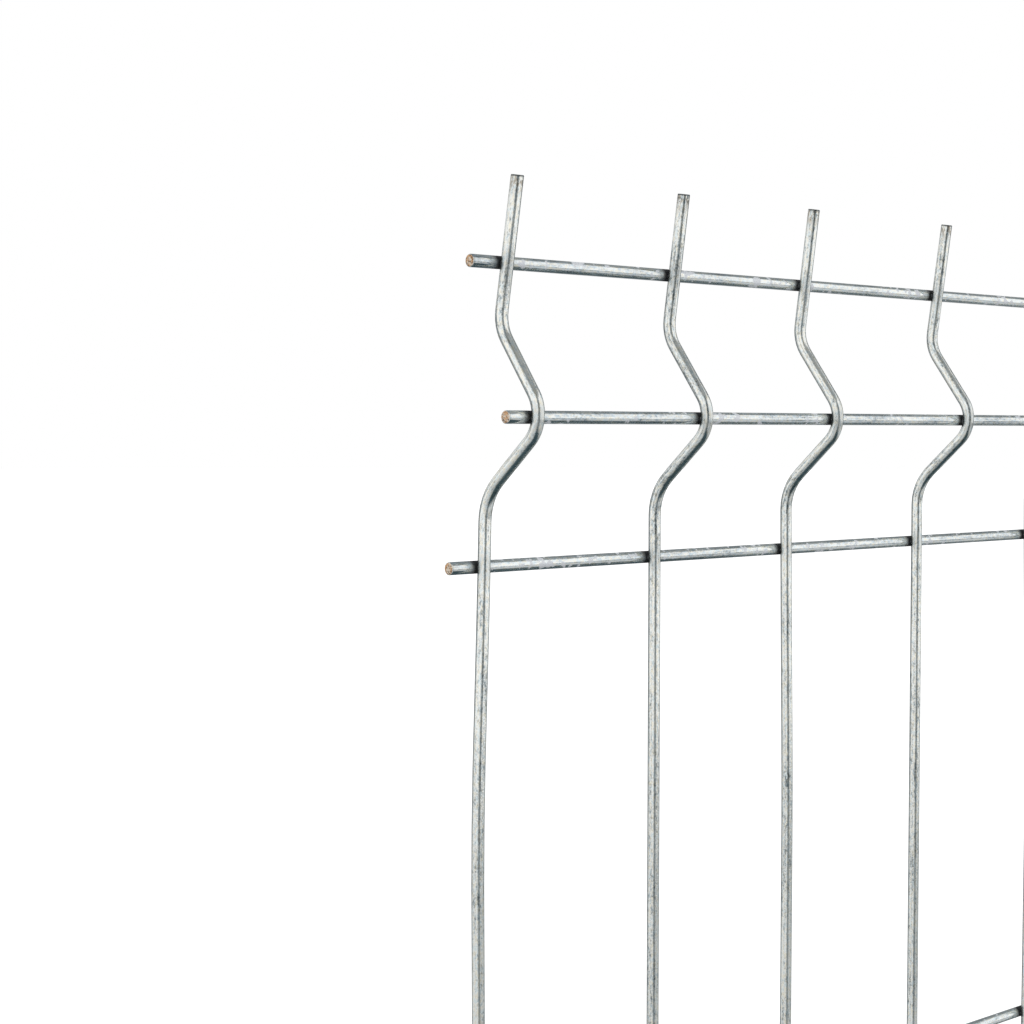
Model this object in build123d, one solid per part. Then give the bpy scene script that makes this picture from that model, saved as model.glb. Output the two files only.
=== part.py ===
from build123d import *
import math
import os

# A welded mesh fence panel: thin round wires, drawn here as bars of eight sides, welded where they cross.
# Uprights stand on the front, line wires lie behind them, and every upright has a V fold near each end.
# Millimetres. X runs along the line wires, Z is up, and the front, with the folds' crests, faces -Y.
# The origin is on the back of the lowest line wire that lies flat on the posts, at the left post's clip.

# Wire
WIRE_DIAMETER = 4.1            # steel wire of 4 mm and its zinc
SIDES = 8

# Mesh
UPRIGHT_COUNT = 34
UPRIGHT_PITCH = 75.0
WIRE_OVERHANG = 12.5           # line wire beyond the first and the last upright
LINE_SPACING = 200.0           # between the line wires of the flat field
FLAT_FIELDS = 5                # meshes between the two folds
WELDING_DRIFT = (-0.3, 2.1, -3.6, 0.9, 3.6)   # the first uprights, off the even pitch
LEFT_TRIM = (0.6, 2.9, 1.5)    # the three highest line wires, sawn off short at the left, the top one last

# Uprights knocked a little sideways near the top: by number, the tilt of the upper fold in degrees,
# and the way off to the right at a number of meshes below the highest flat line wire
FOLD_TILT = {1: 1.0, 3: -0.5, 5: 0.0}
SWAY = {
    1: ((0.0, -0.5), (0.4, -3.3), (1.0, -2.4), (2.0, 0.0)),
    3: ((0.0, 0.3), (0.45, 2.0), (1.0, 1.8), (2.0, 0.0)),
    5: ((0.0, 0.0), (0.45, 3.2), (1.0, 2.4), (2.0, 0.0)),
}

# Fold, measured from the crest's corner on the wire's centre line
CREST_DEPTH = 27.0             # in front of the flat field
OUTER_LEG_RISE = 29.0          # to the bend beside the panel's edge
INNER_LEG_RISE = 24.0          # to the bend beside the flat field
EDGE_OFFSET = 5.7              # the bend beside the edge, in front of the flat field
EDGE_LEAN = 8.5                # degrees, the free edge is bent a little too far forward
OUTER_LINE_RISE = 48.0         # to the line wire beside the panel's edge
INNER_LINE_RISE = 46.0         # to the line wire beside the flat field

# Radii of the wire's centre line in the bends
EDGE_RADIUS = 12.5
CREST_RADIUS = 11.0
FIELD_RADIUS = 17.0

# Ends of the uprights, past the outermost line wires
SPIKE_LENGTH = 27.0
FOOT_LENGTH = 5.0

# A bar of eight sides with the round wire's area keeps its weight.
HALF_FLAT = WIRE_DIAMETER / 2 * math.sqrt(math.pi / (SIDES * math.tan(math.pi / SIDES)))
HALF_SIDE_TURN = 180.0 / SIDES

# Depths behind the front, counted from the posts' faces
LINE_Y = -HALF_FLAT
FIELD_Y = LINE_Y - 2 * HALF_FLAT

FIELD_HEIGHT = FLAT_FIELDS * LINE_SPACING
TOP_CREST_Z = FIELD_HEIGHT + INNER_LINE_RISE
FIRST_UPRIGHT_X = WIRE_OVERHANG / 2
LEFT_END_X = FIRST_UPRIGHT_X - WIRE_OVERHANG
PANEL_WIDTH = (UPRIGHT_COUNT - 1) * UPRIGHT_PITCH + 2 * WIRE_OVERHANG


def forward(lean):
    """Direction square to a wire that leans, towards the front, as (y, z)."""
    return (-math.cos(math.radians(lean)), math.sin(math.radians(lean)))


def moved(point, lean, distance):
    """Point at a distance square to the wire, towards the front."""
    y, z = forward(lean)
    return (point[0] + distance * y, point[1] + distance * z)


def lean_between(upper, lower):
    """Lean of a straight wire in degrees: how far it turns to the front on its way down."""
    return math.degrees(math.atan2(upper[0] - lower[0], upper[1] - lower[1]))


def even_leans(first, last, facets):
    """Leans of the wire before a bend, of the bend's facets and of the wire after it, in equal turns."""
    return [first + (last - first) * k / (facets + 1) for k in range(facets + 2)]


def bend_centre(corner, radius, leans):
    """Centre of the arc that rounds a corner."""
    half_turn = math.radians(leans[-1] - leans[0]) / 2
    reach = math.copysign(radius, half_turn) / math.cos(half_turn)
    return moved(corner, (leans[0] + leans[-1]) / 2, reach)


def bend(corner, radius, leans):
    """Corners between the straight facets that touch a bend's arc."""
    centre = bend_centre(corner, radius, leans)
    points = []
    for upper, lower in zip(leans, leans[1:]):
        half_turn = math.radians(lower - upper) / 2
        reach = math.copysign(radius, half_turn) / math.cos(half_turn)
        points.append(moved(centre, (upper + lower) / 2, -reach))
    return points


def edge_point(rise):
    """Point on the free edge leg at a rise above the crest, on the wire's centre line."""
    lean_out = (rise - OUTER_LEG_RISE) * math.tan(math.radians(EDGE_LEAN))
    return (FIELD_Y - EDGE_OFFSET - lean_out, TOP_CREST_Z + rise)


# Corners of the upper fold, and the leans between them
EDGE_CORNER = edge_point(OUTER_LEG_RISE)
CREST_CORNER = (FIELD_Y - CREST_DEPTH, TOP_CREST_Z)
FIELD_CORNER = (FIELD_Y, TOP_CREST_Z - INNER_LEG_RISE)
OUTER_LEAN = lean_between(EDGE_CORNER, CREST_CORNER)
INNER_LEAN = lean_between(CREST_CORNER, FIELD_CORNER)

# Facets of each bend; the crest has an odd number, so that its line wire seats on the middle one.
EDGE_LEANS = even_leans(-EDGE_LEAN, OUTER_LEAN, 2)
CREST_LEANS = even_leans(OUTER_LEAN, INNER_LEAN, 3)
FIELD_LEANS = even_leans(INNER_LEAN, 0.0, 2)


def fold_line(end_length):
    """Corners of the upper fold's centre line, from the upright's end down to the flat field."""
    end_rise = OUTER_LINE_RISE + end_length * math.cos(math.radians(EDGE_LEAN))
    points = [edge_point(end_rise)]
    points += bend(EDGE_CORNER, EDGE_RADIUS, EDGE_LEANS)
    points += bend(CREST_CORNER, CREST_RADIUS, CREST_LEANS)
    points += bend(FIELD_CORNER, FIELD_RADIUS, FIELD_LEANS)
    return points


def turned_over(point):
    """The same point on the lower fold, which mirrors the upper one about the panel's middle."""
    return (point[0], FIELD_HEIGHT - point[1])


def bar_section(plane, turn=0.0):
    """Eight-sided section of a wire, with flats square to the plane's own axes."""
    return plane * RegularPolygon(HALF_FLAT, SIDES, major_radius=False, rotation=HALF_SIDE_TURN + turn)


def mitre(ring, heading, next_heading, corner):
    """Ring of a wire's edges where it turns from one heading to the next, on the plane between the two."""
    across = (heading + next_heading).normalized()
    return [point + heading * ((corner - point).dot(across) / heading.dot(across)) for point in ring]


def bar_along(corners, side):
    """A wire along straight stretches between corners, with flats square to a side at its start."""
    headings = [(end - start).normalized() for start, end in zip(corners, corners[1:])]
    first = bar_section(Plane(origin=corners[0], x_dir=side, z_dir=headings[0]))
    rings = [[Vector(vertex) for vertex in first.face().outer_wire().vertices()]]
    for heading, next_heading, corner in zip(headings, headings[1:] + headings[-1:], corners[1:]):
        rings.append(mitre(rings[-1], heading, next_heading, corner))
    skin = [Face(Wire.make_polygon(rings[0])), Face(Wire.make_polygon(rings[-1]))]
    for upper, lower in zip(rings, rings[1:]):
        for k in range(SIDES):
            skin.append(Face(Wire.make_polygon([upper[k - 1], upper[k], lower[k], lower[k - 1]])))
    return Solid(Shell(skin)).fix()


def upright_wire(tilt=0.0, sway=()):
    """One folded upright at X = 0, from its spike down to its foot, with flats towards the line wires."""
    across = math.sin(math.radians(tilt))
    along = math.cos(math.radians(tilt))
    start_x = sway[0][1] if sway else 0.0
    upper = [(y, z - FIELD_HEIGHT) for y, z in fold_line(SPIKE_LENGTH)]
    points = [(start_x + rise * across, y, FIELD_HEIGHT + rise * along) for y, rise in upper]
    points += [(x, FIELD_Y, FIELD_HEIGHT - meshes * LINE_SPACING) for meshes, x in sway]
    points += [(0.0, *turned_over(point)) for point in reversed(fold_line(FOOT_LENGTH))]
    return bar_along([Vector(*point) for point in points], side=(along, 0, -across))


def line_wire(y, z, lean=0.0, trim=0.0):
    """One straight line wire, with a flat against the leg it lies on and its left end sawn off short."""
    end = Plane(origin=(LEFT_END_X + trim, y, z), x_dir=(0, 1, 0), z_dir=(1, 0, 0))
    return extrude(bar_section(end, -lean), PANEL_WIDTH - trim)


def line_places():
    """Place and lean of every line wire, from the bottom of the panel to its top."""
    crest_lean = (OUTER_LEAN + INNER_LEAN) / 2
    crest_centre = bend_centre(CREST_CORNER, CREST_RADIUS, CREST_LEANS)
    crest = moved(crest_centre, crest_lean, CREST_RADIUS - 2 * HALF_FLAT)
    edge = moved(edge_point(OUTER_LINE_RISE), -EDGE_LEAN, -2 * HALF_FLAT)
    fold = [(crest, crest_lean), (edge, -EDGE_LEAN)]
    field = [((LINE_Y, k * LINE_SPACING), 0.0) for k in range(FLAT_FIELDS + 1)]
    return [(turned_over(point), -lean) for point, lean in reversed(fold)] + field + fold


def upright_places():
    """Place along the panel of every upright's centre line."""
    even = [FIRST_UPRIGHT_X + k * UPRIGHT_PITCH for k in range(UPRIGHT_COUNT)]
    drift = list(WELDING_DRIFT) + [0.0] * UPRIGHT_COUNT
    return [x + off for x, off in zip(even, drift)]


def write(solid, node):
    """Save one named piece."""
    solid.label = node
    export_step(solid, f"parts/{node}.step")


os.makedirs("parts", exist_ok=True)
plain_upright = upright_wire()
for number, x in enumerate(upright_places(), start=1):
    upright = upright_wire(FOLD_TILT[number], SWAY[number]) if number in SWAY else plain_upright
    write(Pos(x, 0, 0) * upright, f"upright_{number:02d}")
lines = line_places()
trims = [0.0] * (len(lines) - len(LEFT_TRIM)) + list(LEFT_TRIM)
for number, (((y, z), lean), trim) in enumerate(zip(lines, trims), start=1):
    write(line_wire(y, z, lean, trim), f"line_wire_{number:02d}")
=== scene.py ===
import logging
import math
import random
from collections.abc import Callable
from dataclasses import dataclass
from enum import Enum

import bmesh
import bpy
from bmesh.types import BMEdge, BMesh, BMVert
from bpy.types import Material
from mathutils import Matrix, Vector


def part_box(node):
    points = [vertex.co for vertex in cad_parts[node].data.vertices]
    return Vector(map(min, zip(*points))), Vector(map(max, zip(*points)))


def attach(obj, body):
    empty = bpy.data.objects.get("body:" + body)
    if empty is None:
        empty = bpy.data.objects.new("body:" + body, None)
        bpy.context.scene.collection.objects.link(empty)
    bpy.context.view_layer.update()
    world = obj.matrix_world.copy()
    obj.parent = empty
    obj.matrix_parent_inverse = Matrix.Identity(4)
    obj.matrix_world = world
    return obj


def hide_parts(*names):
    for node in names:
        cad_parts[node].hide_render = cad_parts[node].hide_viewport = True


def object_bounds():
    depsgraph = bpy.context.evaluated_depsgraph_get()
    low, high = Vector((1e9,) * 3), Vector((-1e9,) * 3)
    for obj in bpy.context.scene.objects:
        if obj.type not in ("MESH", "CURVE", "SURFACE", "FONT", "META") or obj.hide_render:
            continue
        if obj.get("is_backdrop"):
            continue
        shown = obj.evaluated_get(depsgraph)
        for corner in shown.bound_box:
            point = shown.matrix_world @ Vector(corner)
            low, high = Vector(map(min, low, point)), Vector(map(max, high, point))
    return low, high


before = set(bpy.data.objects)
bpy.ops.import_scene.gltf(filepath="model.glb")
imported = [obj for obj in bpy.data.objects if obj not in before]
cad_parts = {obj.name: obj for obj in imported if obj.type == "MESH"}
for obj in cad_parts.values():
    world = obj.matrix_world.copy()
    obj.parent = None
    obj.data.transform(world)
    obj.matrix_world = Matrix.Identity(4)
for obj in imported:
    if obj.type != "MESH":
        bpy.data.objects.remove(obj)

# The looks of a welded mesh fence panel: round galvanised wires, their welds and cut ends, in a plain studio.
# Metres. X runs along the line wires, Z is up, and the front of the panel faces -Y.

log = logging.getLogger("fence_panel")
MM = 0.001
FULL_TURN = 2 * math.pi
BODY = "root"
ROW_MAP = "OFBake"  # the map through which a wire's colours are written out
SEED = 75
GRAIN_SHIFT = (3000.0, 90000.0)  # millimetres, how far a wire is moved along the pattern
WHITE = (1.0, 1.0, 1.0)
Pair = tuple[float, float]
Triple = tuple[float, float, float]  # a colour, a place, or factors along three axes
Stops = list[tuple[float, Triple]]


class Slot(Enum):
    """Names of the record's material slots for the uprights and the line wires; nothing here gives them to a
    piece.
    """

    UPRIGHTS = "upright_zinc"
    LINE_WIRES = "line_wire_zinc"


class Mark(Enum):
    """What the vertices of a wire hold for its finish."""

    GRAIN = "grain"  # place on the straightened wire, in millimetres
    WELD_GAP = "weld_gap"  # distance along the wire to the nearest weld, in millimetres
    END_GAP = "end_gap"  # distance along the wire to its nearer end, in millimetres
    INNER = "inner"  # 1 on the side of the crossing wires, -1 on the side away from them


def arithmetic(operation: str, reflected: bool = False) -> Callable[["Value", "Operand"], "Value"]:
    """Make a method that adds a Math node.

    Args:
        operation: the Math node's operation.
        reflected: whether the other operand comes first.

    Returns:
        The method.
    """
    def method(self: "Value", other: "Operand") -> "Value":
        """Self and other combined."""
        operands = (other, self) if reflected else (self, other)
        return self.tree.compute(operation, *operands)

    return method


class Value:
    """A shader socket that ordinary arithmetic works on."""

    def __init__(self, tree: "ShaderTree", socket: bpy.types.NodeSocket) -> None:
        """Wrap one output socket of a tree."""
        self.tree = tree
        self.socket = socket

    __add__ = arithmetic("ADD")
    __radd__ = arithmetic("ADD", reflected=True)
    __sub__ = arithmetic("SUBTRACT")
    __rsub__ = arithmetic("SUBTRACT", reflected=True)
    __mul__ = arithmetic("MULTIPLY")
    __rmul__ = arithmetic("MULTIPLY", reflected=True)
    __truediv__ = arithmetic("DIVIDE")
    __rtruediv__ = arithmetic("DIVIDE", reflected=True)


Operand = Value | float
Sockets = dict[str | int, object]


class ShaderTree:
    """A material's or the world's nodes, made from Python expressions."""

    def __init__(self, owner: Material | bpy.types.World) -> None:
        """Take over the owner's nodes and empty them."""
        owner.use_nodes = True
        self.nodes = owner.node_tree.nodes
        self.links = owner.node_tree.links
        self.nodes.clear()

    def node(
        self,
        kind: str,
        settings: dict[str, object] | None = None,
        sockets: Sockets | None = None,
        output: str | int = 0,
    ) -> Value:
        """Add one node.

        Args:
            kind: the node's type.
            settings: its properties, or a ramp's stops, which are set first.
            sockets: values or links of its inputs, by name or number.
            output: name or number of the output that is wanted.

        Returns:
            The wanted output.
        """
        made = self.nodes.new(kind)
        for name, value in (settings or {}).items():
            if name == "stops":
                self.set_stops(made.color_ramp, value)
            else:
                setattr(made, name, value)
        for name, value in (sockets or {}).items():
            if isinstance(value, Value):
                self.links.new(value.socket, made.inputs[name])
            else:
                made.inputs[name].default_value = value
        return Value(self, made.outputs[output] if made.outputs else None)

    @staticmethod
    def set_stops(ramp: bpy.types.ColorRamp, stops: Stops) -> None:
        """Give a colour ramp its stops.

        Args:
            ramp: the ramp to fill.
            stops: place and linear colour of each stop, in order.
        """
        for _ in stops[len(ramp.elements):]:
            ramp.elements.new(1.0)
        for element, (place, colour) in zip(ramp.elements, stops):
            element.position = place
            element.color = (*colour, 1.0)

    def compute(self, operation: str, *operands: Operand) -> Value:
        """A Math node over its operands in order."""
        return self.node("ShaderNodeMath", {"operation": operation}, dict(enumerate(operands)))

    def vector(self, operation: str, *operands: object, output: str | int = 0) -> Value:
        """A Vector Math node over its operands in order."""
        return self.node("ShaderNodeVectorMath", {"operation": operation}, dict(enumerate(operands)), output)

    def ray(self, kind: str) -> Value:
        """Whether a ray is of a kind, 0 or 1."""
        return self.node("ShaderNodeLightPath", output=f"Is {kind} Ray")

    def mark(self, mark: Mark) -> Value:
        """Read what the vertices hold."""
        output = "Vector" if mark is Mark.GRAIN else "Fac"
        return self.node("ShaderNodeAttribute", {"attribute_name": mark.value}, output=output)

    def stretch(self, vector: Value, factors: Triple) -> Value:
        """Scale a vector along its own axes."""
        return self.vector("MULTIPLY", vector, factors)

    def noise(self, vector: Value, scale: float, detail: float = 2.0, rough: float = 0.5) -> Value:
        """Soft noise about 0.5 over a vector."""
        sockets = {"Vector": vector, "Scale": scale, "Detail": detail, "Roughness": rough}
        return self.node("ShaderNodeTexNoise", {"noise_dimensions": "3D"}, sockets)

    def step(self, value: Operand, low: float, high: float) -> Value:
        """Smooth step of a value.

        Args:
            value: what is stepped.
            low: where the step is 0.
            high: where the step is 1; below low, the step falls.

        Returns:
            0 to 1.
        """
        limits = {"Value": value, "From Min": low, "From Max": high}
        return self.node("ShaderNodeMapRange", {"interpolation_type": "SMOOTHSTEP"}, limits)

    def ramp(self, value: Value, stops: Stops) -> Value:
        """Colour from a value through a ramp."""
        return self.node("ShaderNodeValToRGB", {"stops": stops}, {"Fac": value})

    def mix(self, factor: Operand, first: object, second: object, blend: str = "MIX") -> Value:
        """Mix two colours.

        Args:
            factor: share of the second colour.
            first: a colour or a link.
            second: a colour or a link.
            blend: the Mix node's way of blending.

        Returns:
            The mixed colour.
        """
        settings = {"data_type": "RGBA", "blend_type": blend}
        whole = [(*c, 1.0) if isinstance(c, tuple) else c for c in (first, second)]
        return self.node("ShaderNodeMix", settings, {0: factor, 6: whole[0], 7: whole[1]}, output=2)

    def bump(self, height: Value, depth: float) -> Value:
        """Surface relief, from a height of 0 to 1 and the metres that 1 stands for."""
        return self.node("ShaderNodeBump", {}, {"Height": height, "Distance": depth, "Strength": 1.0})


@dataclass(frozen=True)
class Grain:
    """One noise over a wire's skin, in grains per millimetre."""

    scale: float
    along: float = 1.0  # stretch along the wire: under 1, the grains are longer
    across: float = 1.0  # and across it
    detail: float = 2.0
    rough: float = 0.5
    weight: float = 1.0  # how much it counts where several are added up

    def over(self, tree: ShaderTree, place: Value) -> Value:
        """The noise, about 0.5, over places on the wire."""
        stretched = tree.stretch(place, (self.across, self.across, self.along))
        return tree.noise(stretched, self.scale, self.detail, self.rough)

    def swing(self, noise: Value) -> Value:
        """What the noise adds or takes away."""
        return (noise - 0.5) * self.weight


@dataclass(frozen=True)
class Finish:
    """A material with one Principled shader."""

    name: str

    def sockets(self, tree: ShaderTree) -> Sockets:
        """What the shader takes, which each finish says for itself."""
        raise NotImplementedError

    def material(self) -> Material:
        """Make the material.

        Returns:
            The finished material.
        """
        made = bpy.data.materials.new(self.name)
        tree = ShaderTree(made)
        shader = tree.node("ShaderNodeBsdfPrincipled", {}, self.sockets(tree), output="BSDF")
        tree.node("ShaderNodeOutputMaterial", {}, {"Surface": shader})
        return made


@dataclass(frozen=True)
class GalvanisedZinc(Finish):
    """Zinc on drawn wire: warm and pale with darker mottling, burnt and darkened with painted shade beside
    the welds, marked at the tips.

    Reaches and gaps are in millimetres along the wire. A pair of limits says where a mark begins and is full.
    """

    pale: Triple = (0.925, 0.93, 0.90)
    middle: Triple = (0.695, 0.72, 0.715)
    dull: Triple = (0.205, 0.235, 0.245)
    warm: Triple = (1.0, 0.955, 0.84)
    cool: Triple = (0.87, 0.96, 1.0)
    smut: Triple = (0.07, 0.085, 0.09)
    stain: Triple = (0.24, 0.20, 0.15)
    chalk: Triple = (0.80, 0.83, 0.88)
    # Near black: burnt zinc, and painted shade of the crevice beside a weld.
    burnt_and_crevice_shade: Triple = (0.012, 0.013, 0.015)

    tone: float = 0.61  # 0 is dull and 1 is pale
    tone_stops: Triple = (0.05, 0.42, 0.74)
    mottling: float = 0.95  # strength of the pattern over the whole wire
    blotches: Grain = Grain(1.0, 0.4, detail=3.0, rough=0.6, weight=1.7)
    fine_grain: Grain = Grain(1.9, 0.7, detail=3.0, rough=0.7, weight=1.7)
    streaks: Grain = Grain(1.6, 0.05, weight=1.3)
    clouds: Grain = Grain(0.12, 0.3, weight=0.9)
    batches: Grain = Grain(0.0007, across=0.0, detail=1.0, weight=0.5)  # one wire from the next
    hues: Grain = Grain(1.5, 0.4)
    hue_stops: Triple = (0.34, 0.5, 0.66)

    specks: float = 0.75  # strength of the dark specks
    speck_grain: Grain = Grain(1.2, detail=4.0, rough=0.7)
    speck_limits: Pair = (0.68, 0.73)
    batch_specks: float = 0.2  # how much fewer on a pale wire
    tip_specks: float = 0.14  # how much more near the ends
    fleck_grain: Grain = Grain(1.0, 0.6, detail=3.0, rough=0.7)
    fleck_limits: Pair = (0.59, 0.68)
    fleck_share: float = 0.5  # of the specks' strength

    worn_tips: float = 0.8  # strength of the stains near the ends
    tip_gaps: Pair = (8.0, 0.5)
    tip_limits: Pair = (0.44, 0.54)
    rim_gaps: Pair = (0.45, 0.1)

    # Beside a weld, on the side towards the crossing wire: burnt zinc, and painted shade of the crevice
    # between the two wires and of the other wire's dark reflection there.
    burn_shade_reach: float = 3.7
    burn_shade_full: float = 1.6
    burn_shade_side: float = 0.75  # how far round towards the other wire the burn and its painted shade begin, 1 being next to it
    burn_shade_turn: float = 0.25  # half the turn over which it begins
    burn_shade_share: float = 0.96
    burn_shade_grain: Grain = Grain(0.6, detail=1.0, weight=1.5)
    heat_reach: float = 6.5
    heat_full: float = 1.5
    heat_limits: Pair = (0.85, 1.15)
    heat_share: float = 0.35
    warmed_rough: float = 0.0  # roughness that the heat adds beside a weld

    spills: float = 0.0  # strength of the chalky spots between the welds
    chalk_grain: Grain = Grain(0.38, detail=1.0)
    chalk_clouds: float = 0.7  # how much the spots gather
    chalk_limits: Pair = (0.61, 0.68)
    chalk_gaps: Pair = (4.0, 6.0)
    chalk_end_gaps: Pair = (9.0, 12.0)

    smoothest: float = 0.10
    dullness: float = 0.09
    dull_limits: Pair = (0.7, 0.3)
    relief: float = 0.08 * MM

    def sockets(self, tree: ShaderTree) -> Sockets:
        """What the shader takes.

        Args:
            tree: the material's nodes.

        Returns:
            Its sockets.
        """
        place = tree.mark(Mark.GRAIN)
        weld_gap = tree.mark(Mark.WELD_GAP)
        end_gap = tree.mark(Mark.END_GAP)
        inner = tree.mark(Mark.INNER)

        blotch = self.blotches.over(tree, place)
        fine = self.fine_grain.over(tree, place)
        cloud = self.clouds.over(tree, place)
        batch = self.batches.over(tree, place)
        colour = self.plain_zinc(tree, place, (blotch, fine, cloud, batch))

        gathered = self.chalk_grain.over(tree, place) + (cloud - 0.5) * self.chalk_clouds
        spot = tree.step(gathered, *self.chalk_limits)
        clear = tree.step(weld_gap, *self.chalk_gaps) * tree.step(end_gap, *self.chalk_end_gaps)
        chalky = spot * clear * self.spills
        fleck = tree.step(self.fleck_grain.over(tree, place), *self.fleck_limits)
        warmed = tree.step(weld_gap, self.heat_reach, self.heat_full)
        heat = warmed * tree.step(fine + blotch, *self.heat_limits)
        near_end = tree.step(end_gap, *self.tip_gaps) * self.worn_tips
        tip = near_end * tree.step(blotch, *self.tip_limits)
        rim = tree.step(end_gap, *self.rim_gaps) * self.worn_tips
        grit = self.speck_grain.over(tree, place) - (batch - 0.5) * self.batch_specks
        speck = tree.step(grit + near_end * self.tip_specks, *self.speck_limits)
        # The burn, with painted crevice shade: near black beside the weld on the side towards the crossing
        # wire.
        ragged_gap = weld_gap + self.burn_shade_grain.swing(self.burn_shade_grain.over(tree, place))
        facing = tree.step(inner, self.burn_shade_side - self.burn_shade_turn, self.burn_shade_side + self.burn_shade_turn)
        burn_and_shade = tree.step(ragged_gap, self.burn_shade_reach, self.burn_shade_full) * facing

        covers = (
            (chalky, self.chalk),
            (fleck * self.specks * self.fleck_share, self.stain),
            (heat * self.heat_share, self.dull),
            (tip, self.stain),
            (speck * self.specks, self.smut),
            (rim, self.smut),
            # Burnt zinc and painted crevice shade, near black.
            (burn_and_shade * self.burn_shade_share, self.burnt_and_crevice_shade),
        )
        for share, cover in covers:
            colour = tree.mix(share, colour, cover)

        rough = self.smoothest + self.dullness * tree.step(blotch, *self.dull_limits)
        return {
            "Base Color": colour,
            "Metallic": 1.0 - chalky * 0.9 - burn_and_shade * 0.5,
            "Roughness": rough + chalky * 0.25 + heat * 0.1 + burn_and_shade * 0.25 + warmed * self.warmed_rough,
            "Normal": tree.bump(fine * 0.6 + blotch * 0.4, self.relief),
        }

    def plain_zinc(self, tree: ShaderTree, place: Value, noises: tuple[Value, ...]) -> Value:
        """Mottled zinc before anything has marked it.

        Args:
            tree: the material's nodes.
            place: place on the wire.
            noises: the blotches, the fine grain, the clouds and the batches.

        Returns:
            Its colour.
        """
        blotch, fine, cloud, batch = noises
        streak = self.streaks.swing(self.streaks.over(tree, place))
        pattern = self.blotches.swing(blotch) + self.fine_grain.swing(fine) + streak
        tone = self.tone + pattern * self.mottling + self.clouds.swing(cloud) + self.batches.swing(batch)
        colour = tree.ramp(tone, list(zip(self.tone_stops, (self.dull, self.middle, self.pale))))
        hue = self.hues.over(tree, place)
        tint = tree.ramp(hue, list(zip(self.hue_stops, (self.cool, WHITE, self.warm))))
        return tree.mix(1.0, colour, tint, "MULTIPLY")


@dataclass(frozen=True)
class CutSteel(Finish):
    """A bare end of a cut wire: pale steel, in patches of rust and with dark pits."""

    steel: Triple = (0.84, 0.73, 0.60)
    rust: Triple = (0.72, 0.40, 0.18)
    pit: Triple = (0.12, 0.07, 0.04)
    rust_share: float = 1.0
    radius: float = 2.05  # of the wire, in millimetres
    patches: Grain = Grain(1.0, detail=3.0, rough=0.6)
    patch_limits: Pair = (0.52, 0.60)
    patch_rim: float = 0.12  # how much more rust at the rim
    pits: Grain = Grain(1.7, detail=3.0, rough=0.6)
    pit_limits: Pair = (0.56, 0.62)
    pit_rim: float = 0.08  # how much more pits at the rim
    cover: float = 0.85  # how much they hide of what is under them
    relief: float = 0.15 * MM

    def sockets(self, tree: ShaderTree) -> Sockets:
        """What the shader takes.

        Args:
            tree: the material's nodes.

        Returns:
            Its sockets.
        """
        place = tree.mark(Mark.GRAIN)
        across = tree.stretch(place, (1.0, 1.0, 0.0))
        out = tree.vector("LENGTH", across, output="Value") / self.radius
        patch = self.patches.over(tree, place)
        fine = self.pits.over(tree, place)
        rusty = tree.step(patch + out * self.patch_rim, *self.patch_limits) * self.rust_share
        pitted = tree.step(fine + out * self.pit_rim, *self.pit_limits)
        colour = tree.mix(rusty * self.cover, self.steel, self.rust)
        colour = tree.mix(pitted * self.cover, colour, self.pit)
        return {
            "Base Color": colour,
            "Metallic": 0.2 - rusty * 0.15,
            "Roughness": 0.5 + rusty * 0.25,
            "Normal": tree.bump(fine + patch, self.relief),
        }


@dataclass(frozen=True)
class WeldScaleAndShade(Finish):
    """The burnt zinc and grey scale of a weld nugget, darkened further as painted shade of the crevice
    between the two wires.
    """

    # Near black: dark weld scale, and painted shade of the crevice where the line wire meets the upright.
    scale: Triple = (0.04, 0.042, 0.045)
    zinc: Triple = (0.20, 0.22, 0.23)
    grains: float = 1400.0  # per metre
    relief: float = 0.1 * MM

    def sockets(self, tree: ShaderTree) -> Sockets:
        """What the shader takes.

        Args:
            tree: the material's nodes.

        Returns:
            Its sockets.
        """
        place = tree.node("ShaderNodeTexCoord", output="Object")
        patch = tree.noise(place, self.grains, 4.0, 0.6)
        return {
            "Base Color": tree.ramp(patch, [(0.35, self.scale), (0.65, self.zinc)]),
            "Metallic": 0.6,
            "Roughness": 0.35 + patch * 0.3,
            "Normal": tree.bump(patch, self.relief),
        }


@dataclass(frozen=True)
class Gauge:
    """The round wire that the panel is made of."""

    radius: float = 2.05 * MM
    sides: int = 24
    electrode_flat: float = 0.10 * MM  # pressed off the side away from the weld
    electrode_reach: float = 2.6 * MM  # half the length of that flat


@dataclass(frozen=True)
class Run:
    """A straight stretch of wire."""

    length: float


@dataclass(frozen=True)
class Bend:
    """An arc of wire that turns the lean, in radians, about a radius."""

    radius: float
    turn: float

    @property
    def length(self) -> float:
        """Length of the arc on the wire's centre line."""
        return self.radius * abs(self.turn)

    @property
    def setback(self) -> float:
        """Distance from the bend's corner to the end of its arc."""
        return self.radius * math.tan(abs(self.turn) / 2)


@dataclass(frozen=True)
class EndCut:
    """How a wire is cut off: steps of advance and of the ring's size, from the rim to the middle."""

    steps: tuple[Pair, ...]
    zinc_steps: int = 2  # steps that the zinc still covers


SAWN = EndCut(((0.08 * MM, 0.97), (0.14 * MM, 0.89), (0.12 * MM, 0.70), (0.05 * MM, 0.40)))
SHEARED = EndCut(((0.09 * MM, 0.975), (0.14 * MM, 0.91), (-0.03 * MM, 0.75), (0.0, 0.40)))


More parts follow.
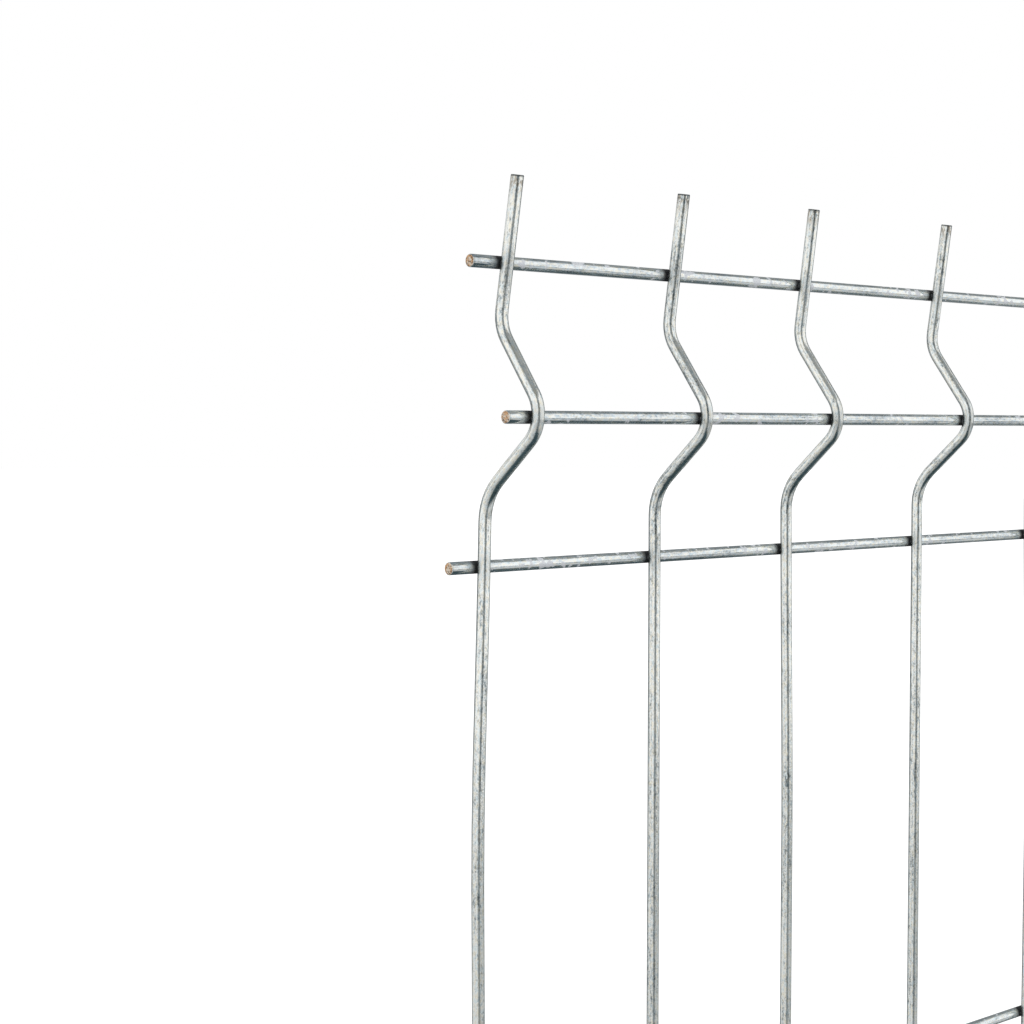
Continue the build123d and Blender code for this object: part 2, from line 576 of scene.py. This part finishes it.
class DrawnWire:
    """A round wire drawn along a flat path of runs and bends, ring by ring.

    The path lies in the YZ plane and starts at a point with a lean: the turn to the front on its way down.
    """

    STRAIGHT_STEP = 20 * MM
    LEAST_STEP = 0.01 * MM
    BEND_STEP = math.radians(7.0)
    WELD_RINGS = (-2.0, -1.0, -0.7, 0.0, 0.7, 1.0, 2.0)  # beside a weld, in reaches of the electrode

    def __init__(self, gauge: Gauge, start: Vector, lean: float, welds: list[float], length: float) -> None:
        """Set out the first ring.

        Args:
            gauge: the wire.
            start: the first point of its centre line.
            lean: the lean there, in radians.
            welds: distances along the wire at which it is welded, in order.
            length: the wire's length.
        """
        self.gauge = gauge
        self.welds = welds
        self.length = length
        self.point = start.copy()
        self.lean = lean
        self.gone = 0.0
        self.bm = bmesh.new()
        layers = self.bm.verts.layers
        self.grain = layers.float_vector.new(Mark.GRAIN.value)
        self.weld_gap = layers.float.new(Mark.WELD_GAP.value)
        self.end_gap = layers.float.new(Mark.END_GAP.value)
        self.inner = layers.float.new(Mark.INNER.value)
        place = Matrix.Translation(start) @ Matrix.Rotation(-lean, 4, "X")
        circle = bmesh.ops.create_circle(
            self.bm, cap_ends=False, radius=gauge.radius, segments=gauge.sides, matrix=place
        )
        self.ring = self.edges_among(circle["verts"])
        self.first = (self.ring, self.point.copy(), lean)
        self.write_marks(circle["verts"])

    @staticmethod
    def edges_among(verts: list[BMVert]) -> list[BMEdge]:
        """Edges that have both ends among the vertices."""
        known = set(verts)
        return sorted(
            {e for v in verts for e in v.link_edges if e.other_vert(v) in known}, key=lambda e: e.index
        )

    @property
    def heading(self) -> Vector:
        """Direction of the path here."""
        return Vector((0.0, -math.sin(self.lean), -math.cos(self.lean)))

    @property
    def forward(self) -> Vector:
        """Direction square to the path, towards the front."""
        return Vector((0.0, -math.cos(self.lean), math.sin(self.lean)))

    def write_marks(self, verts: list[BMVert]) -> None:
        """Write onto a ring where it is on the straightened wire, and press the electrode's flat."""
        gauge = self.gauge
        gap = min(abs(self.gone - weld) for weld in self.welds)
        pressed = gauge.electrode_flat * max(0.0, 1 - (gap / gauge.electrode_reach) ** 4)
        forward = self.forward
        for vert in verts:
            across = vert.co - self.point
            depth = across.dot(forward)
            over = depth - (gauge.radius - pressed)
            if over > 0:
                vert.co -= over * forward
            vert[self.grain] = Vector((across.x, depth, self.gone)) / MM
            vert[self.weld_gap] = gap / MM
            vert[self.end_gap] = min(self.gone, self.length - self.gone) / MM
            vert[self.inner] = -depth / gauge.radius

    def extruded(self, ring: list[BMEdge]) -> list[BMVert]:
        """Extrude a ring where it is and return the new vertices."""
        made = bmesh.ops.extrude_edge_only(self.bm, edges=ring)["geom"]
        return [item for item in made if isinstance(item, BMVert)]

    def straight(self, length: float) -> None:
        """Run straight on, with rings where the welds and their marks need them."""
        for step in self.run_steps(length):
            verts = self.extruded(self.ring)
            shift = self.heading * step
            bmesh.ops.translate(self.bm, vec=shift, verts=verts)
            self.point += shift
            self.gone += step
            self.ring = self.edges_among(verts)
            self.write_marks(verts)

    def run_steps(self, length: float) -> list[float]:
        """Steps between the rings of a straight run."""
        start = self.gone
        reach = self.gauge.electrode_reach
        places = {0.0, length}
        for weld in self.welds:
            places.update(weld - start + part * reach for part in self.WELD_RINGS)
        for left, right in zip(self.welds, self.welds[1:]):
            places.add((left + right) / 2 - start)
        places.add(self.length / 2 - start)
        stops = sorted(p for p in places if 0.0 <= p <= length)
        steps = []
        for left, right in zip(stops, stops[1:]):
            if right - left > self.LEAST_STEP:
                count = max(1, round((right - left) / self.STRAIGHT_STEP))
                steps += [(right - left) / count] * count
        return steps

    def bend(self, radius: float, turn: float) -> None:
        """Turn the path about a radius, the sign of the turn being that of the lean."""
        side = math.copysign(radius, turn)
        centre = self.point + self.forward * side
        count = max(2, 2 * round(abs(turn) / self.BEND_STEP / 2))
        for _ in range(count):
            spun = bmesh.ops.spin(
                self.bm, geom=self.ring, cent=centre, axis=(1, 0, 0), angle=-turn / count, steps=1
            )
            verts = [item for item in spun["geom_last"] if isinstance(item, BMVert)]
            self.lean += turn / count
            self.gone += radius * abs(turn) / count
            self.point = centre - self.forward * side
            self.ring = self.edges_among(verts)
            self.write_marks(verts)

    def cut(self, ring: list[BMEdge], cut: EndCut, point: Vector, outward: Vector) -> None:
        """Close one end of the wire.

        Args:
            ring: the end's last ring.
            cut: how it is cut off.
            point: the wire's centre line there.
            outward: direction out of the end.
        """
        place = point.copy()
        size = 1.0
        for number, (advance, wanted) in enumerate(cut.steps):
            verts = self.extruded(ring)
            bmesh.ops.translate(self.bm, vec=outward * advance, verts=verts)
            place += outward * advance
            ratio = wanted / size
            bmesh.ops.scale(self.bm, vec=(ratio,) * 3, space=Matrix.Translation(-place), verts=verts)
            size = wanted
            for vert in verts:
                mark = vert[self.grain]
                vert[self.grain] = Vector((mark.x * ratio, mark.y * ratio, mark.z))
            ring = self.edges_among(verts)
            for face in {face for vert in verts for face in vert.link_faces}:
                face.material_index = int(number >= cut.zinc_steps)
        for face in bmesh.ops.contextual_create(self.bm, geom=ring)["faces"]:
            face.material_index = 1

    def finish(self, top: EndCut, bottom: EndCut) -> BMesh:
        """Cut both ends and turn the faces outwards.

        Args:
            top: cut of the wire's start.
            bottom: cut of its end.

        Returns:
            The wire's mesh.
        """
        self.cut(self.ring, bottom, self.point, self.heading)
        ring, point, self.lean = self.first
        self.cut(ring, top, point, -self.heading)
        bmesh.ops.recalc_face_normals(self.bm, faces=self.bm.faces)
        for face in self.bm.faces:
            face.smooth = True
        return self.bm


@dataclass(frozen=True)
class RowMap:
    """A flat map of a wire's skin in rows one above the other, so that its colours are written out finely."""

    margin: float = 0.03  # of a row's height
    end_size: float = 0.45  # radius of a cut end, in rows

    def lay(self, bm: BMesh, gauge: Gauge, length: float) -> None:
        """Lay the map.

        Args:
            bm: the wire, with its grain marks.
            gauge: the wire's size.
            length: the wire's length.
        """
        grain = bm.verts.layers.float_vector[Mark.GRAIN.value]
        uv = bm.loops.layers.uv.new(ROW_MAP)
        girth = FULL_TURN * gauge.radius
        rows = max(1, round(math.sqrt(length / girth)))
        row_length = length / rows / MM
        full_length = row_length + DrawnWire.STRAIGHT_STEP * 1.5 / MM
        height = 1.0 / (rows + 1)
        for face in bm.faces:
            marks = [loop.vert[grain] for loop in face.loops]
            if face.material_index:
                column = 0 if marks[0].z < row_length else 1
                for loop, mark in zip(face.loops, marks):
                    spot = [m * MM / gauge.radius * self.end_size + 0.5 for m in (mark.x, mark.y)]
                    loop[uv].uv = ((column + spot[0]) * height, 1.0 - height + spot[1] * height)
                continue
            row = min(rows - 1, int(min(m.z for m in marks) / row_length))
            turns = [math.atan2(m.y, m.x) / FULL_TURN % 1.0 for m in marks]
            wraps = max(turns) - min(turns) > 0.5
            for loop, mark, turn in zip(face.loops, marks, turns):
                around = turn + 1.0 if wraps and turn < 0.5 else turn
                around = self.margin + (1 - 2 * self.margin) * around / (1 + 1 / gauge.sides)
                along = (mark.z - row * row_length) / full_length
                loop[uv].uv = (along, (row + around) * height)


def linked(name: str, data: bpy.types.ID) -> bpy.types.Object:
    """A new object of the scene."""
    made = bpy.data.objects.new(name, data)
    bpy.context.scene.collection.objects.link(made)
    return made


def solid_object(name: str, bm: BMesh, materials: list[Material]) -> bpy.types.Object:
    """Make an object of the scene from a mesh.

    Args:
        name: its name.
        bm: its mesh, which is freed.
        materials: its materials in order.

    Returns:
        The object.
    """
    mesh = bpy.data.meshes.new(name)
    bm.to_mesh(mesh)
    bm.free()
    for material in materials:
        mesh.materials.append(material)
    return linked(name, mesh)


def add_piece(name: str, bm: BMesh, materials: list[Material]) -> bpy.types.Object:
    """Make a finished piece of the panel from its mesh.

    Args:
        name: the piece's name.
        bm: its mesh, which is freed.
        materials: its materials in order.

    Returns:
        The piece, riding on the panel.
    """
    piece = solid_object(name, bm, materials)
    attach(piece, BODY)
    log.info("%s: %d faces", name, len(piece.data.polygons))
    return piece


def middle_of(node: str) -> Vector:
    """Middle of a CAD node's box."""
    low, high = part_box(node)
    return (low + high) / 2


def nodes_named(start: str) -> list[str]:
    """CAD nodes whose names have this start, in order."""
    return sorted(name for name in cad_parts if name.startswith(start))


@dataclass(frozen=True)
class Fold:
    """The V fold near an end of an upright. Rises are counted from the crest's corner."""

    crest_depth: float = 27.0 * MM
    outer_leg_rise: float = 29.0 * MM
    inner_leg_rise: float = 24.0 * MM
    inner_line_rise: float = 46.0 * MM
    edge_offset: float = 5.7 * MM
    edge_lean: float = math.radians(8.5)
    outer_line_rise: float = 48.0 * MM
    edge_radius: float = 12.5 * MM
    crest_radius: float = 11.0 * MM
    field_radius: float = 17.0 * MM

    @property
    def outer_lean(self) -> float:
        """Lean of the leg from the edge bend to the crest."""
        return math.atan2(self.crest_depth - self.edge_offset, self.outer_leg_rise)

    @property
    def inner_lean(self) -> float:
        """Lean of the leg from the crest back to the flat field."""
        return -math.atan2(self.crest_depth, self.inner_leg_rise)

    @property
    def crest_lean(self) -> float:
        """Lean of the wire at the middle of the crest."""
        return (self.outer_lean + self.inner_lean) / 2

    def bends(self) -> list[Bend]:
        """The three bends on the way from the panel's edge to the flat field."""
        return [
            Bend(self.edge_radius, self.outer_lean + self.edge_lean),
            Bend(self.crest_radius, self.inner_lean - self.outer_lean),
            Bend(self.field_radius, -self.inner_lean),
        ]

    def parts(self, end_length: float) -> list[Run | Bend]:
        """Runs and bends from the wire's end to the end of the last bend.

        Args:
            end_length: wire beyond the line wire beside the panel's edge.

        Returns:
            The parts in order.
        """
        edge, crest, field_bend = self.bends()
        edge_leg = (self.outer_line_rise - self.outer_leg_rise) / math.cos(self.edge_lean)
        outer_leg = self.outer_leg_rise / math.cos(self.outer_lean)
        inner_leg = self.inner_leg_rise / math.cos(self.inner_lean)
        return [
            Run(end_length + edge_leg - edge.setback),
            edge,
            Run(outer_leg - edge.setback - crest.setback),
            crest,
            Run(inner_leg - crest.setback - field_bend.setback),
            field_bend,
        ]

    def end_point(self, end_length: float) -> Vector:
        """Where the centre line ends, counted from the field's depth and the crest's height.

        Args:
            end_length: wire beyond the line wire beside the panel's edge.

        Returns:
            The point, at X = 0.
        """
        rise = self.outer_line_rise + end_length * math.cos(self.edge_lean)
        out = self.edge_offset + (rise - self.outer_leg_rise) * math.tan(self.edge_lean)
        return Vector((0.0, -out, rise))

    def crest_way(self, end_length: float) -> float:
        """Distance along the wire from its end to the middle of the crest."""
        before = sum(part.length for part in self.parts(end_length)[:3])
        return before + self.bends()[1].length / 2


@dataclass(frozen=True)
class Sway:
    """How an upright that was knocked sideways stands off to the right.

    Its fold tilts, and its field is bent at a number of meshes below the highest flat line wire.
    """

    tilt: float = 0.0
    knots: tuple[Pair, ...] = ((0.0, 0.0),)
    softness: float = 25 * MM  # half the height over which a bend is spread
    mesh_height: float = 200 * MM

    def way(self, below: float) -> float:
        """Way off to the right.

        Args:
            below: height below the highest flat line wire.

        Returns:
            Metres.
        """
        places = [meshes * self.mesh_height for meshes, _ in self.knots]
        ways = [way for _, way in self.knots]
        slopes = [-math.tan(self.tilt)]
        slopes += [(ways[k + 1] - ways[k]) / (places[k + 1] - places[k]) for k in range(len(ways) - 1)]
        slopes.append(0.0)
        total = ways[-1]
        for place, upper, lower in zip(places, slopes, slopes[1:]):
            total += (lower - upper) * self.above(place - below)
        return total

    def above(self, height: float) -> float:
        """A height above a bend, or 0 below it, with a soft turn between the two."""
        if abs(height) < self.softness:
            return (height + self.softness) ** 2 / (4 * self.softness)
        return max(0.0, height)

    def middle(self, top: float) -> float:
        """Middle between the furthest ways, for an end at a height above the highest flat line wire."""
        ways = [self.knots[0][1] + top * math.tan(self.tilt), *(way for _, way in self.knots)]
        return (min(ways) + max(ways)) / 2


SWAYS = {
    "upright_01": Sway(
        math.radians(1.0), ((0.0, -0.5 * MM), (0.4, -3.3 * MM), (1.0, -2.4 * MM), (2.0, 0.0))
    ),
    "upright_03": Sway(
        math.radians(-0.5), ((0.0, 0.3 * MM), (0.45, 2.0 * MM), (1.0, 1.8 * MM), (2.0, 0.0))
    ),
    "upright_05": Sway(0.0, ((0.0, 0.0), (0.45, 3.2 * MM), (1.0, 2.4 * MM), (2.0, 0.0))),
}


@dataclass(frozen=True)
class Standing:
    """Where an upright stands along the panel, at any height."""

    node: str
    x: float
    highest_flat: float
    sway: Sway

    def x_at(self, z: float) -> float:
        """X of the centre line at a height."""
        return self.x + self.sway.way(self.highest_flat - z)


def standings() -> list[Standing]:
    """Read from the CAD boxes where every upright stands.

    Returns:
        One for each upright, in order.
    """
    highest_flat = middle_of(nodes_named("line_wire")[-3]).z
    found = []
    for node in nodes_named("upright"):
        low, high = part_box(node)
        sway = SWAYS.get(node, Sway())
        x = (low.x + high.x) / 2 - sway.middle(high.z - highest_flat)
        found.append(Standing(node, x, highest_flat, sway))
    return found


@dataclass
class Uprights:
    """The folded uprights at the front of the panel."""

    gauge: Gauge = Gauge()
    fold: Fold = Fold()
    spike_length: float = 27.0 * MM
    foot_length: float = 5.0 * MM

    def make_wire(self) -> tuple[BMesh, float]:
        """Draw one upright at X = 0.

        Returns:
            Its mesh and its length.
        """
        fold = self.fold
        field_nodes = nodes_named("line_wire")[2:-2]
        field_lines = [middle_of(node) for node in field_nodes]
        low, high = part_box(field_nodes[0])
        axis_y = field_lines[0].y - (high.y - low.y)
        crest_z = field_lines[-1].z + fold.inner_line_rise
        start = Vector((0.0, axis_y, crest_z)) + fold.end_point(self.spike_length)
        upper = fold.parts(self.spike_length)
        lower = fold.parts(self.foot_length)
        upper_way = sum(part.length for part in upper)
        lower_way = sum(part.length for part in lower)
        bent_depth = fold.inner_leg_rise + fold.bends()[2].setback
        field_way = (crest_z - bent_depth) - (field_lines[0].z - fold.inner_line_rise + bent_depth)
        length = upper_way + field_way + lower_way
        welds = [self.spike_length, fold.crest_way(self.spike_length)]
        welds += [upper_way + (crest_z - bent_depth) - line.z for line in reversed(field_lines)]
        welds += [length - fold.crest_way(self.foot_length), length - self.foot_length]
        wire = DrawnWire(self.gauge, start, -fold.edge_lean, welds, length)
        for part in [*upper, Run(field_way), *reversed(lower)]:
            if isinstance(part, Bend):
                wire.bend(part.radius, part.turn)
            else:
                wire.straight(part.length)
        log.info("upright: %.1f mm long, top at %.1f mm", length / MM, start.z / MM)
        return wire.finish(SHEARED, SHEARED), length

    def build(self, places: list[Standing], coats: list[Material], rng: random.Random) -> None:
        """Make every upright.

        Args:
            places: where each stands.
            coats: zinc on the wire, and its cut ends.
            rng: source of each wire's own grain.
        """
        wire, length = self.make_wire()
        RowMap().lay(wire, self.gauge, length)
        for place in places:
            copy = wire.copy()
            for vert in copy.verts:
                vert.co.x += place.x_at(vert.co.z)
            shift_grain(copy, rng)
            piece = add_piece(f"drawn_{place.node}", copy, coats)
            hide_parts(place.node)
        wire.free()


def shift_grain(bm: BMesh, rng: random.Random) -> None:
    """Give a wire a grain of its own by moving it along the pattern.

    Args:
        bm: the wire.
        rng: source of the move.
    """
    grain = bm.verts.layers.float_vector[Mark.GRAIN.value]
    along = rng.uniform(*GRAIN_SHIFT)
    for vert in bm.verts:
        vert[grain] = vert[grain] + Vector((0.0, 0.0, along))


@dataclass
class LineWires:
    """The straight wires behind the uprights, and the nuggets that weld them on."""

    gauge: Gauge = Gauge()
    fold: Fold = Fold()
    nugget_radius: float = 1.3 * MM
    nugget_depth: float = 0.45 * MM
    nugget_seat: float = 0.975  # how far from the wire's middle they sit, in radii of it
    nugget_sides: int = 8
    nugget_rings: int = 5
    nugget_sizes: Pair = (0.85, 1.15)  # the least and the largest, of its radius
    nugget_depths: Pair = (0.8, 1.2)
    nugget_bumps: float = 0.08 * MM

    def lean_of(self, number: int, count: int) -> float:
        """Lean of the uprights where a line wire crosses them, counted from the bottom."""
        leans = {0: self.fold.edge_lean, 1: -self.fold.crest_lean}
        leans |= {count - 2: self.fold.crest_lean, count - 1: -self.fold.edge_lean}
        return leans.get(number, 0.0)

    def make_wire(self, node: str, lean: float, crossings: list[float]) -> BMesh:
        """Draw one line wire.

        Args:
            node: the CAD node that it stands for.
            lean: lean of the uprights that it lies against.
            crossings: where they cross it, as X.

        Returns:
            Its mesh.
        """
        low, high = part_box(node)
        length = high.x - low.x
        welds = [x - low.x for x in crossings]
        wire = DrawnWire(self.gauge, Vector(), 0.0, welds, length)
        wire.straight(length)
        bm = wire.finish(SAWN, SAWN)
        # The path ran down, with the front to the front; now it runs along X, with that side to the back.
        turn = Matrix.Rotation(lean, 4, "X") @ Matrix(
            ((0, 0, -1, 0), (0, -1, 0, 0), (-1, 0, 0, 0), (0, 0, 0, 1))
        )
        middle = (low + high) / 2
        place = Matrix.Translation((low.x, middle.y, middle.z)) @ turn
        bmesh.ops.transform(bm, matrix=place, verts=bm.verts)
        bmesh.ops.recalc_face_normals(bm, faces=bm.faces)
        RowMap().lay(bm, self.gauge, length)
        return bm

    def make_nuggets(self, node: str, lean: float, crossings: list[float], rng: random.Random) -> BMesh:
        """Make the weld nuggets of one line wire as one mesh.

        Args:
            node: the line wire's CAD node.
            lean: lean of the uprights there.
            crossings: where they cross it, as X.
            rng: source of the nuggets' unevenness.

        Returns:
            The nuggets' mesh.
        """
        middle = middle_of(node)
        forward = Vector((0.0, -math.cos(lean), math.sin(lean)))
        seat = middle + forward * self.gauge.radius * self.nugget_seat
        bm = bmesh.new()
        for x in crossings:
            size = [self.nugget_radius * rng.uniform(*self.nugget_sizes) for _ in range(2)]
            depth = self.nugget_depth * rng.uniform(*self.nugget_depths)
            shape = Matrix.Diagonal((*size, depth, 1.0))
            turn = Matrix.Rotation(-lean, 4, "X") @ Matrix.Rotation(math.pi / 2, 4, "X")
            spin = Matrix.Rotation(rng.uniform(0.0, FULL_TURN), 4, "Z")
            place = Matrix.Translation((x, seat.y, seat.z)) @ turn @ shape @ spin
            made = bmesh.ops.create_uvsphere(
                bm, u_segments=self.nugget_sides, v_segments=self.nugget_rings, radius=1.0, matrix=place
            )
            for vert in made["verts"]:
                vert.co += Vector([rng.uniform(-1, 1) for _ in range(3)]) * self.nugget_bumps
        for face in bm.faces:
            face.smooth = True
        return bm

    def build(
        self, places: list[Standing], coats: list[Material], scale: Material, rng: random.Random
    ) -> None:
        """Make every line wire with its row of welds.

        Args:
            places: where the uprights stand.
            coats: zinc on the wire, and its cut ends.
            scale: the nuggets' finish.
            rng: source of grain and unevenness.
        """
        nodes = nodes_named("line_wire")
        for number, node in enumerate(nodes):
            height = middle_of(node).z
            crossings = [place.x_at(height) for place in places]
            lean = self.lean_of(number, len(nodes))
            wire = self.make_wire(node, lean, crossings)
            shift_grain(wire, rng)
            piece = add_piece(f"drawn_{node}", wire, coats)
            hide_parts(node)
            nuggets = self.make_nuggets(node, lean, crossings, rng)
            add_piece(f"welds_{number + 1:02d}", nuggets, [scale])


@dataclass(frozen=True)
class Viewpoint:
    """Where the photograph was taken from."""

    place: Triple = (-0.42997, -0.48088, 1.0432)
    azimuth: float = math.radians(43.283)  # from +Y towards +X
    elevation: float = math.radians(-2.292)
    roll: float = math.radians(0.08)
    lens: float = 72.8
    sensor: float = 36.0

    def make_camera(self) -> None:
        """Make the camera and give it to the scene."""
        camera = bpy.data.cameras.new("camera")
        camera.lens = self.lens
        camera.sensor_width = self.sensor
        camera.clip_start = 0.01
        turn = (
            Matrix.Rotation(-self.azimuth, 4, "Z")
            @ Matrix.Rotation(math.pi / 2 + self.elevation, 4, "X")
            @ Matrix.Rotation(self.roll, 4, "Z")
        )
        holder = linked("camera", camera)
        holder.matrix_world = Matrix.Translation(self.place) @ turn
        bpy.context.scene.camera = holder


@dataclass(frozen=True)
class Softbox:
    """A square area lamp that faces a point."""

    name: str
    place: Triple
    size: float
    power: float
    target: Triple = (1.0, 0.0, 0.6)

    def hang(self) -> None:
        """Put the lamp in the scene."""
        lamp = bpy.data.lights.new(self.name, "AREA")
        lamp.shape = "SQUARE"
        lamp.size = self.size
        lamp.energy = self.power
        holder = linked(self.name, lamp)
        aim = Vector(self.target) - Vector(self.place)
        turn = aim.to_track_quat("-Z", "Y").to_matrix().to_4x4()
        holder.matrix_world = Matrix.Translation(self.place) @ turn
        holder.visible_glossy = False


@dataclass(frozen=True)
class Panel:
    """A part of the room, by its bearing from +X and its heights over the horizon, in degrees."""

    bearing: float
    half_width: float
    lowest: float
    highest: float
    level: float
    soft: float
    soft_foot: float  # of its lower edge


@dataclass
class Studio:
    """A pale floor, a white room with a dim gap and dim corners, and soft lamps."""

    floor_drop: float = 0.02
    floor_reach: float = 60.0
    floor_tone: float = 0.6
    near_glow: float = 0.42
    far_glow: float = 0.75
    near_distance: float = 1.0
    far_distance: float = 3.1
    room_level: float = 0.75
    surround: Triple = (0.048, 0.075, 0.087)
    panels: tuple[Panel, ...] = (
        Panel(0.0, 180.0, -33.0, 95.0, 0.20, 10.0, 10.0),
        Panel(98.0, 28.0, 7.0, 50.0, 0.60, 6.0, 6.0),
        Panel(177.0, 51.0, -8.0, 43.0, 0.88, 9.0, 9.0),
        Panel(165.0, 62.0, -56.0, -8.0, 0.50, 12.0, 12.0),
        Panel(-52.0, 36.0, -9.0, 41.0, 1.18, 8.0, 3.5),
        Panel(-48.0, 40.0, -37.0, -14.5, 0.42, 7.0, 8.0),
        Panel(-50.0, 70.0, 40.0, 95.0, 0.09, 10.0, 10.0),
    )
    lamps: tuple[Softbox, ...] = (
        Softbox("key", (-2.2, -1.2, 2.6), 2.0, 12.0),
        Softbox("fill", (3.6, -3.0, 1.6), 2.0, 10.0),
        Softbox("top", (1.2, 0.6, 3.6), 2.0, 10.0),
    )

    def make_floor(self) -> None:
        """Lay the floor, which the camera sees as white where no shadow falls, and metal sees past."""
        bm = bmesh.new()
        low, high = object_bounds()
        place = Matrix.Translation((0.0, 0.0, low.z - self.floor_drop))
        bmesh.ops.create_circle(bm, cap_ends=True, segments=64, radius=self.floor_reach, matrix=place)
        material = bpy.data.materials.new("floor_paper")
        tree = ShaderTree(material)
        place_on = tree.node("ShaderNodeTexCoord", output="Object")
        away = tree.vector("DISTANCE", place_on, (low + high) / 2, output="Value")
        far = tree.step(away, self.near_distance, self.far_distance)
        strength = tree.ray("Camera") * (self.near_glow + far * (self.far_glow - self.near_glow))
        tone = (self.floor_tone,) * 3 + (1.0,)
        paper = tree.node("ShaderNodeBsdfDiffuse", {}, {"Color": tone})
        glow = tree.node("ShaderNodeEmission", {}, {"Strength": strength})
        lit = tree.node("ShaderNodeAddShader", {}, {0: paper, 1: glow})
        clear = tree.node("ShaderNodeBsdfTransparent")
        both = tree.node("ShaderNodeMixShader", {}, {0: tree.ray("Glossy"), 1: lit, 2: clear})
        tree.node("ShaderNodeOutputMaterial", {}, {"Surface": both})
        solid_object("floor", bm, [material])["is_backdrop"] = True

    def level_of(self, panel: Panel, tree: ShaderTree, direction: Value, height: Value) -> Value:
        """How much of a panel a direction shows.

        Args:
            panel: the part of the room.
            tree: the world's nodes.
            direction: the horizontal direction, of length 1.
            height: degrees above the horizon.

        Returns:
            The panel's level, or 0 beside it.
        """
        bearing = math.radians(panel.bearing)
        middle = (math.cos(bearing), math.sin(bearing), 0.0)
        dot = tree.vector("DOT_PRODUCT", direction, middle, output="Value")
        off = tree.compute("ARCCOSINE", dot) * math.degrees(1.0)
        soft = panel.soft
        beside = tree.step(off, panel.half_width + soft, panel.half_width - soft)
        above = tree.step(height, panel.lowest - panel.soft_foot, panel.lowest + panel.soft_foot)
        below = tree.step(height, panel.highest + soft, panel.highest - soft)
        return beside * above * below * panel.level

    def make_world(self) -> None:
        """Make the white room. Metal sees it as white panels with dim gaps between them."""
        world = bpy.data.worlds.new("room")
        bpy.context.scene.world = world
        tree = ShaderTree(world)
        direction = tree.node("ShaderNodeTexCoord", output="Generated")
        parts = tree.node("ShaderNodeSeparateXYZ", {}, {0: direction}, output="Z")
        height = tree.compute("ARCSINE", parts) * math.degrees(1.0)
        flat = tree.vector("NORMALIZE", tree.stretch(direction, (1.0, 1.0, 0.0)))
        shown: Operand = 0.0
        for panel in self.panels:
            shown = shown + self.level_of(panel, tree, flat, height)
        room = tree.mix(shown, self.surround, WHITE)
        seen = tree.mix(tree.ray("Glossy"), (self.room_level,) * 3, room)
        seen = tree.mix(tree.ray("Camera"), seen, WHITE)
        back = tree.node("ShaderNodeBackground", {}, {"Color": seen})
        tree.node("ShaderNodeOutputWorld", {}, {"Surface": back})

    def build(self) -> None:
        """Set up the whole studio."""
        self.make_floor()
        self.make_world()
        for lamp in self.lamps:
            lamp.hang()
        bpy.context.scene.view_settings.view_transform = "Standard"


def main() -> None:
    """Build the panel's looks and its studio."""
    logging.basicConfig(level=logging.INFO, format="%(name)s: %(message)s")
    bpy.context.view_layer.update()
    rng = random.Random(SEED)
    Viewpoint().make_camera()
    upright_zinc = GalvanisedZinc("zinc_on_uprights").material()
    line_zinc = GalvanisedZinc(
        "zinc_on_line_wires",
        pale=(0.93, 0.95, 0.94),
        middle=(0.655, 0.70, 0.725),
        dull=(0.16, 0.20, 0.23),
        cool=(0.86, 0.95, 1.0),
        mottling=0.58,
        specks=0.28,
        # A wider burn with its painted crevice shade beside the welds, reaching further round the wire.
        burn_shade_reach=4.4,
        heat_reach=7.5,
        warmed_rough=0.3,
        burn_shade_side=-0.15,
        spills=0.9,
        worn_tips=0.1,
        smoothest=0.08,
        dullness=0.04,
        relief=0.04 * MM,
    ).material()
    sheared = CutSteel("sheared_end", rust_share=0.35).material()
    sawn = CutSteel("sawn_end").material()
    # The nuggets' finish: dark scale and painted crevice shade.
    scale = WeldScaleAndShade("weld_scale_and_shade").material()
    places = standings()
    Uprights().build(places, [upright_zinc, sheared], rng)
    LineWires().build(places, [line_zinc, sawn], scale, rng)
    Studio().build()


if __name__ == "__main__":
    main()
